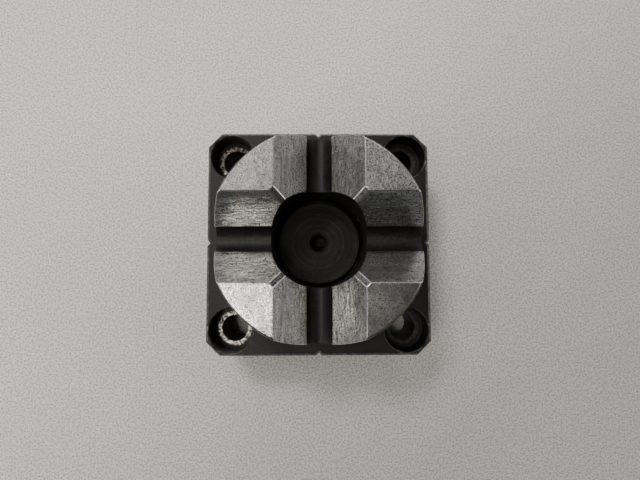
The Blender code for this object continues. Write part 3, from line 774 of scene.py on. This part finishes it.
def cam_shape():
    low, high = CAM_LOW.z, CAM_HIGH.z
    seat, outer = NECK_OUTER + 0.3 * MM, CAM_HIGH.x
    step = PISTON_TOP + 0.3 * MM
    cone_top = BALL_Z + 0.2 * MM

    def cone(height):
        return CONE_RADIUS + CONE_SLOPE * (height - BALL_Z)

    corner = 0.3 * MM
    profile = [(seat, low + 0.1 * MM), (seat + 0.1 * MM, low), (outer - corner, low),
               (outer, low + corner), (outer, high - corner), (outer - corner, high),
               (cone(cone_top) + corner, high), (cone(cone_top), high - corner),
               (cone(cone_top), cone_top), (cone(step + 0.1 * MM), step + 0.1 * MM),
               (cone(step) + 0.1 * MM, step), (seat, step)]
    return turned(profile, FAIR)


def guide_shape():
    low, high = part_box("piston_guide_ring")
    outer, corner = high.x, 0.12 * MM
    profile = [(GUIDE_INNER, low.z), (outer - corner, low.z), (outer, low.z + corner),
               (outer, high.z - corner), (outer - corner, high.z), (GUIDE_INNER, high.z)]
    return turned(profile, FAIR)


def ring_shape(centre, section, height, steps=FAIR):
    """A ring of round cord."""
    sides = 20
    tilts = [math.tau * i / sides for i in range(sides)]
    return turned([(centre + section * math.cos(tilt), height + section * math.sin(tilt))
                   for tilt in tilts], steps)


def spring_shape():
    """A round wire wound with closer turns at both ends."""
    wire, per_turn, sides = SPRING_WIRE_RADIUS, 48, 16
    low, high = SPRING_LOW.z + wire, SPRING_HIGH.z - wire
    count = int(SPRING_TURNS * per_turn)
    shape = bmesh.new()
    rings = []
    for i in range(count + 1):
        t = i / count
        angle = math.tau * SPRING_TURNS * t
        height = low + (high - low) * (t - SPRING_EASING * math.sin(math.tau * t) / math.tau)
        loop = []
        for k in range(sides):
            tilt = math.tau * k / sides
            reach = SPRING_RADIUS + wire * math.cos(tilt)
            loop.append(shape.verts.new((reach * math.cos(angle), reach * math.sin(angle),
                                         height + wire * math.sin(tilt))))
        rings.append(loop)
    for lower, upper in zip(rings, rings[1:]):
        for k in range(sides):
            n = (k + 1) % sides
            shape.faces.new((lower[k], lower[n], upper[n], upper[k]))
    ends = [shape.faces.new(rings[0]), shape.faces.new(rings[-1])]
    bmesh.ops.recalc_face_normals(shape, faces=shape.faces)
    for end in ends:
        bmesh.ops.inset_region(shape, faces=[end], thickness=0.1 * MM, depth=0.08 * MM)
    return shape


def ball_shape(angle):
    shape = bmesh.new()
    centre = Vector((BALL_REST * math.cos(angle), BALL_REST * math.sin(angle), BALL_Z))
    bmesh.ops.create_icosphere(shape, subdivisions=4, radius=BALL_RADIUS,
                               matrix=Matrix.Translation(centre))
    return shape


# ---------------------------------------------------------------- fasteners and port plug

def hexagon(radius, low, high):
    return extruded([(radius * math.cos(math.tau * i / 6), radius * math.sin(math.tau * i / 6))
                     for i in range(6)], low, high)


def screw_shape(head, thread_start, low, high, socket, place):
    """A screw from its head's profile: adds the thread, the tip and the hexagon socket."""
    profile = list(head)
    for i in range(int((high - 0.4 * MM - thread_start) / SCREW_PITCH)):
        base = thread_start + i * SCREW_PITCH
        profile += [(SHANK_RADIUS - SCREW_THREAD_DEPTH, base),
                    (SHANK_RADIUS, base + 0.45 * SCREW_PITCH),
                    (SHANK_RADIUS, base + 0.55 * SCREW_PITCH)]
    profile += [(SHANK_RADIUS - 0.15 * MM, high - 0.35 * MM), (SHANK_RADIUS - 0.4 * MM, high),
                (0, high)]
    radius, depth = socket
    cutter = hexagon(radius, low - OVERRUN, low + depth)
    return moved(carved(turned(profile, SMALL), [cutter]), place)


def cap_screw_shape(place):
    low, high = (corner.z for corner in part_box("head_screw_1"))
    corner = 0.2 * MM
    shoulder = low + CAP_HEIGHT
    head = [(0, low), (CAP_RADIUS - corner, low), (CAP_RADIUS, low + corner),
            (CAP_RADIUS, shoulder - 0.1 * MM), (CAP_RADIUS - 0.1 * MM, shoulder),
            (SHANK_RADIUS, shoulder)]
    return screw_shape(head, shoulder + CAP_PLAIN_LENGTH, low, high, CAP_SOCKET, place)


def sunk_screw_shape(place):
    low, high = (corner.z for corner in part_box("cover_screw_1"))
    land = low + SUNK_LAND
    neck = land + SUNK_RADIUS - SHANK_RADIUS
    head = [(0, low), (SUNK_RADIUS - 0.08 * MM, low), (SUNK_RADIUS, low + 0.08 * MM),
            (SUNK_RADIUS, land), (SHANK_RADIUS, neck)]
    return screw_shape(head, neck + 0.8 * MM, low, high, SUNK_SOCKET, place)


def dowel_shape(place):
    low, high = (corner.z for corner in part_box("dowel_pin_1"))
    corner = 0.35 * MM
    profile = [(0, low), (DOWEL_RADIUS - corner, low), (DOWEL_RADIUS, low + corner),
               (DOWEL_RADIUS, high - corner), (DOWEL_RADIUS - corner, high), (0, high)]
    return moved(turned(profile, SMALL), place)


def plug_shape():
    """Threaded plug with a hexagon socket, along the port's own axis."""
    start, end = (corner.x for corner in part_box("side_port_plug"))
    radius = PLUG_RADIUS
    profile = [(0, start), (radius - 0.4 * MM, start), (radius - 0.1 * MM, start + 0.3 * MM)]
    for i in range(PLUG_RIDGES):
        base = start + 0.4 * MM + i * PORT_PITCH
        profile += [(radius - 0.3 * MM, base), (radius, base + 0.4 * PORT_PITCH),
                    (radius, base + 0.55 * PORT_PITCH)]
    profile += [(radius, end - 0.15 * MM), (radius - 0.15 * MM, end), (0, end)]
    socket_radius, depth = PLUG_SOCKET
    socket = hexagon(socket_radius, end - depth, end + OVERRUN)
    return moved(carved(turned(profile, SMALL), [socket]), RIGHT_PORT)


# ---------------------------------------------------------------- assembly

def gripper():
    """One fine piece for each CAD node."""
    ground = [ground_finish("ground_pad", (3.2, 1.2)),
              ground_finish("ground_flank_x", (0.4, 3.3)),
              ground_finish("ground_flank_y", (3.3, 0.4)),
              ground_finish("ground_ridge", (2.0, 2.0), light=(0.21, 0.207, 0.203),
                            roughness=0.52)]
    edge = edge_finish()
    slot_x = oxide_finish("slot_black_oxide_x", (0.12, 2.6, 2.6))
    slot_y = oxide_finish("slot_black_oxide_y", (2.6, 0.12, 2.6))
    wall = oxide_finish("head_black_oxide", (0.6, 0.6, 2.0))
    hardened = plain_metal("hardened_steel", (0.36, 0.36, 0.36), (0.5, 0.5, 0.49), 0.26)
    fastener = plain_metal("fastener_steel", (0.03, 0.03, 0.032), (0.07, 0.07, 0.07), 0.38)
    rubber = rubber_finish()

    piece("chuck_head_fine", head_shape(), ground + [edge, slot_x, slot_y, wall],
          "housing", ["chuck_head"])
    piece("base_housing_fine", housing_shape(), [housing_finish(), oxide_edge_finish()],
          "housing", ["base_housing"])
    piece("bottom_cover_fine", cover_shape(), [turned_finish()],
          "housing", ["bottom_cover"])

    piece("locking_piston_fine", piston_shape(), [oxide_finish("piston_black_oxide")],
          "piston", ["locking_piston"])
    piece("cam_ring_fine", cam_shape(), [hardened], "piston", ["cam_ring"])
    piece("piston_guide_ring_fine", guide_shape(), [guide_finish()],
          "piston", ["piston_guide_ring"])
    for name, body, shape in [
            ("piston_seal", "piston", ring_shape(*PISTON_SEAL)),
            ("hub_seal", "housing", ring_shape(*HUB_SEAL)),
            ("cover_seal", "housing", ring_shape(*COVER_SEAL)),
            ("plug_seal", "housing", moved(ring_shape(*PLUG_SEAL, SMALL), RIGHT_PORT))]:
        piece(name + "_fine", shape, [rubber], body, [name])

    wire = plain_metal("spring_steel", (0.14, 0.14, 0.15), (0.24, 0.24, 0.24), 0.36)
    spring = piece("return_spring_fine", spring_shape(), [wire], "housing", ["return_spring"])
    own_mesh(spring)

    steel = plain_metal("ball_steel", (0.68, 0.68, 0.69), (0.78, 0.78, 0.78), 0.12)
    for number, angle in enumerate(BALL_ANGLES, 1):
        piece(f"locking_ball_{number}_fine", ball_shape(angle), [steel], f"ball_{number}",
              [f"locking_ball_{number}"])
    for number, (cap, sunk) in enumerate(zip(around(HEAD_SCREW_CIRCLE, DIAGONALS),
                                             around(COVER_SCREW_CIRCLE, QUARTERS)), 1):
        piece(f"head_screw_{number}_fine", cap_screw_shape(cap), [fastener], "housing",
              [f"head_screw_{number}"])
        piece(f"cover_screw_{number}_fine", sunk_screw_shape(sunk), [fastener], "housing",
              [f"cover_screw_{number}"])
    for number, place in enumerate(around(DOWEL_CIRCLE, QUARTERS[::2]), 1):
        piece(f"dowel_pin_{number}_fine", dowel_shape(place), [hardened], "housing",
              [f"dowel_pin_{number}"])
    piece("side_port_plug_fine", plug_shape(), [fastener], "housing", ["side_port_plug"])


# ---------------------------------------------------------------- bench, light and camera

WARM = (1.0, 0.95, 0.85)
NEUTRAL = (1.0, 0.995, 0.98)
CEILING_Z = 0.62
SIDE_Z = 0.36
WIDE, NARROW, SIDE = 0.16, 0.08, 0.34       # the panels' edges, in metres
PANELS = [                                  # name, x, y, edge, watts, colour
    ("ceiling_left_front", -0.24, -0.14, WIDE, 0.62, WARM),
    ("ceiling_left_back", -0.24, 0.34, WIDE, 2.60, NEUTRAL),
    ("ceiling_near", -0.11, -0.06, NARROW, 0.58, WARM),
    ("ceiling_left", -0.10, 0.16, NARROW, 0.05, WARM),
    ("ceiling_right_back", 0.12, 0.20, WIDE, 0.10, NEUTRAL),
    ("side_right", 0.62, 0.0, SIDE, 0.95, NEUTRAL),
    ("side_right_back", 0.57, 0.23, SIDE, 0.35, NEUTRAL),
    ("side_back_right", 0.23, 0.57, SIDE, 0.65, NEUTRAL),
    ("side_back_left", -0.23, 0.57, SIDE, 0.48, NEUTRAL),
    ("side_left_back", -0.57, 0.23, SIDE, 0.40, NEUTRAL),
    ("side_left_front", -0.57, -0.23, SIDE, 1.00, WARM)]
BENCH_HALF = 3.0
CAMERA_PLACE = (-1.4937 * MM, -8.2475 * MM, 133.193 * MM)
CAMERA_TURN = (0.0783, -0.0158, -0.0034)
LENS = 26.348
SENSOR = 36.0


def bench_finish():
    """Pale grained bench, with painted shade that darkens it towards the front right, and softly
    glowing far away.
    """
    f = Finish("pale_bench")
    cloud = f.noise(0.02, detail=3)
    grain = f.noise(2.1, detail=2, roughness=0.7)
    colour = f.blend(f.remap(cloud, 0.3, 0.7), (0.93, 0.918, 0.89), (1.0, 0.988, 0.96))
    colour = f.blend(f.remap(grain, 0.44, 0.60), colour, (0.46, 0.45, 0.43))
    # painted shade: the light's falloff towards the front right is painted into the bench's colour
    painted_falloff_shade = f.remap(f.math("SUBTRACT", f.x, f.y), -50.0, 90.0, 0.0, 0.42)
    colour = f.blend(painted_falloff_shade, colour, (0.10, 0.095, 0.09))
    away = f.remap(f.radius(f.x, f.y), 300.0, 1000.0)
    f.set(base_color=colour, roughness=0.75, normal=f.bump(grain, 0.02),
          emission_color=(1.0, 0.985, 0.96), emission_strength=f.math("MULTIPLY", away, 0.62))
    return f.material


def bench():
    shape = bmesh.new()
    bmesh.ops.create_grid(shape, x_segments=1, y_segments=1, size=BENCH_HALF)
    mesh = bpy.data.meshes.new("bench")
    shape.to_mesh(mesh)
    shape.free()
    mesh.materials.append(bench_finish())
    obj = bpy.data.objects.new("bench", mesh)
    obj.location.z = -0.02 * MM
    bpy.context.scene.collection.objects.link(obj)


def room():
    """A dim sky that brightens towards the horizon."""
    world = bpy.data.worlds.new("room")
    world.use_nodes = True
    tree = world.node_tree
    height = tree.nodes.new("ShaderNodeSeparateXYZ")
    tree.links.new(tree.nodes.new("ShaderNodeTexCoord").outputs["Generated"], height.inputs[0])

    def glow(low, high, strength, rest):
        fade = tree.nodes.new("ShaderNodeMapRange")
        fade.interpolation_type = "SMOOTHSTEP"
        tree.links.new(height.outputs["Z"], fade.inputs["Value"])
        for socket, value in zip(list(fade.inputs)[1:5], (low, high, strength, rest)):
            socket.default_value = value
        return fade.outputs["Result"]

    both = tree.nodes.new("ShaderNodeMath")
    tree.links.new(glow(-0.02, 0.18, 0.48, 0.0), both.inputs[0])
    tree.links.new(glow(0.02, 0.55, 0.13, 0.008), both.inputs[1])
    tree.links.new(both.outputs[0], tree.nodes["Background"].inputs["Strength"])
    tree.nodes["Background"].inputs["Color"].default_value = (0.97, 0.985, 1.0, 1.0)
    bpy.context.scene.world = world


def panels():
    """Square soft lights. Those overhead face straight down, the others face the object."""
    for name, x, y, edge, watts, colour in PANELS:
        overhead = name.startswith("ceiling")
        place = Vector((x, y, CEILING_Z if overhead else SIDE_Z))
        target = Vector((x, y, 0) if overhead else (0, 0, HOUSING_TOP))
        light = bpy.data.lights.new(name, "AREA")
        light.size = edge
        light.energy = watts
        light.color = colour
        obj = bpy.data.objects.new(name, light)
        obj.location = place
        obj.rotation_euler = (target - place).to_track_quat("-Z", "Y").to_euler()
        bpy.context.scene.collection.objects.link(obj)


def camera():
    """Straight above, a little to the front of the middle."""
    data = bpy.data.cameras.new("camera")
    data.sensor_width = SENSOR
    data.lens = LENS
    data.clip_start = 0.005
    obj = bpy.data.objects.new("camera", data)
    obj.location = CAMERA_PLACE
    obj.rotation_euler = CAMERA_TURN
    bpy.context.scene.collection.objects.link(obj)
    bpy.context.scene.camera = obj


gripper()
bench()
room()
panels()
camera()
